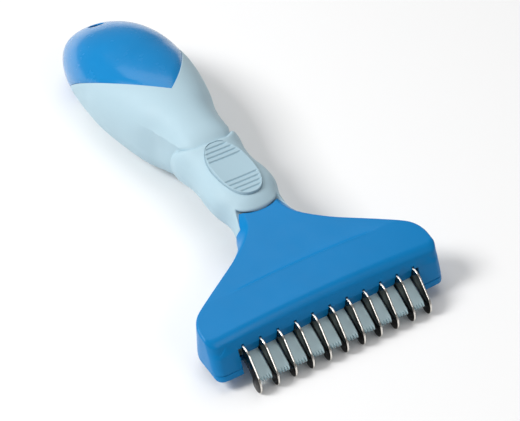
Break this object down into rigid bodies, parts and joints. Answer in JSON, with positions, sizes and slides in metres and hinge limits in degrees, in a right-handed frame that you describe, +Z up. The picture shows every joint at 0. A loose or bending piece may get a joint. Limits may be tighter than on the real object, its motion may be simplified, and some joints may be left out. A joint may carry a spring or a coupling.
{
  "type": "dematting comb",
  "caption": "Hand-held dematting comb: a wide flared head with curved steel blades and serrated guard fingers, on a soft palm grip with a thumb pad and a hang hole.",
  "frame": {"origin": "on the table under the middle of the comb's length and width, as it lies on its blade tips and palm swell", "axes": "+X to the right across the head bar, +Y along the handle from the blades to the tail, +Z up from the table"},
  "size_m": [0.09, 0.19, 0.0352],
  "materials": {
    "head_blue": "satin moulded plastic, medium blue",
    "cap_blue": "glossy moulded plastic, medium blue",
    "grip_soft": "matt soft-touch elastomer, pale blue",
    "pad_soft": "matt soft-touch elastomer, pale grey-blue",
    "finger_plastic": "satin plastic with fine lengthwise lines, pale grey-blue",
    "blade_steel": "polished stainless steel sheet with fine grinding lines",
    "rod_steel": "drawn stainless steel rod",
    "screw_steel": "zinc-plated steel",
    "core_plastic": "unpainted rigid plastic, off-white"
  },
  "bodies": {
    "root": {"head_shell": "head_blue", "head_cover": "head_blue", "grip": "grip_soft", "thumb_pad": "pad_soft", "tail_cap": "cap_blue", "core_upper": "core_plastic", "core_lower": "core_plastic", "front_rod": "rod_steel", "rear_rod": "rod_steel", "end_plate_left": "finger_plastic", "end_plate_right": "finger_plastic", "cover_screws": "screw_steel", "core_screws": "screw_steel", "cap_screw": "screw_steel", "tongue_pin": "rod_steel", "blade_01": "blade_steel", "blade_02": "blade_steel", "blade_03": "blade_steel", "blade_04": "blade_steel", "blade_05": "blade_steel", "blade_06": "blade_steel", "blade_07": "blade_steel", "blade_08": "blade_steel", "blade_09": "blade_steel", "blade_10": "blade_steel", "blade_11": "blade_steel", "guard_finger_01": "finger_plastic", "guard_finger_02": "finger_plastic", "guard_finger_03": "finger_plastic", "guard_finger_04": "finger_plastic", "guard_finger_05": "finger_plastic", "guard_finger_06": "finger_plastic", "guard_finger_07": "finger_plastic", "guard_finger_08": "finger_plastic", "guard_finger_09": "finger_plastic", "guard_finger_10": "finger_plastic"}
  },
  "joints": []
}
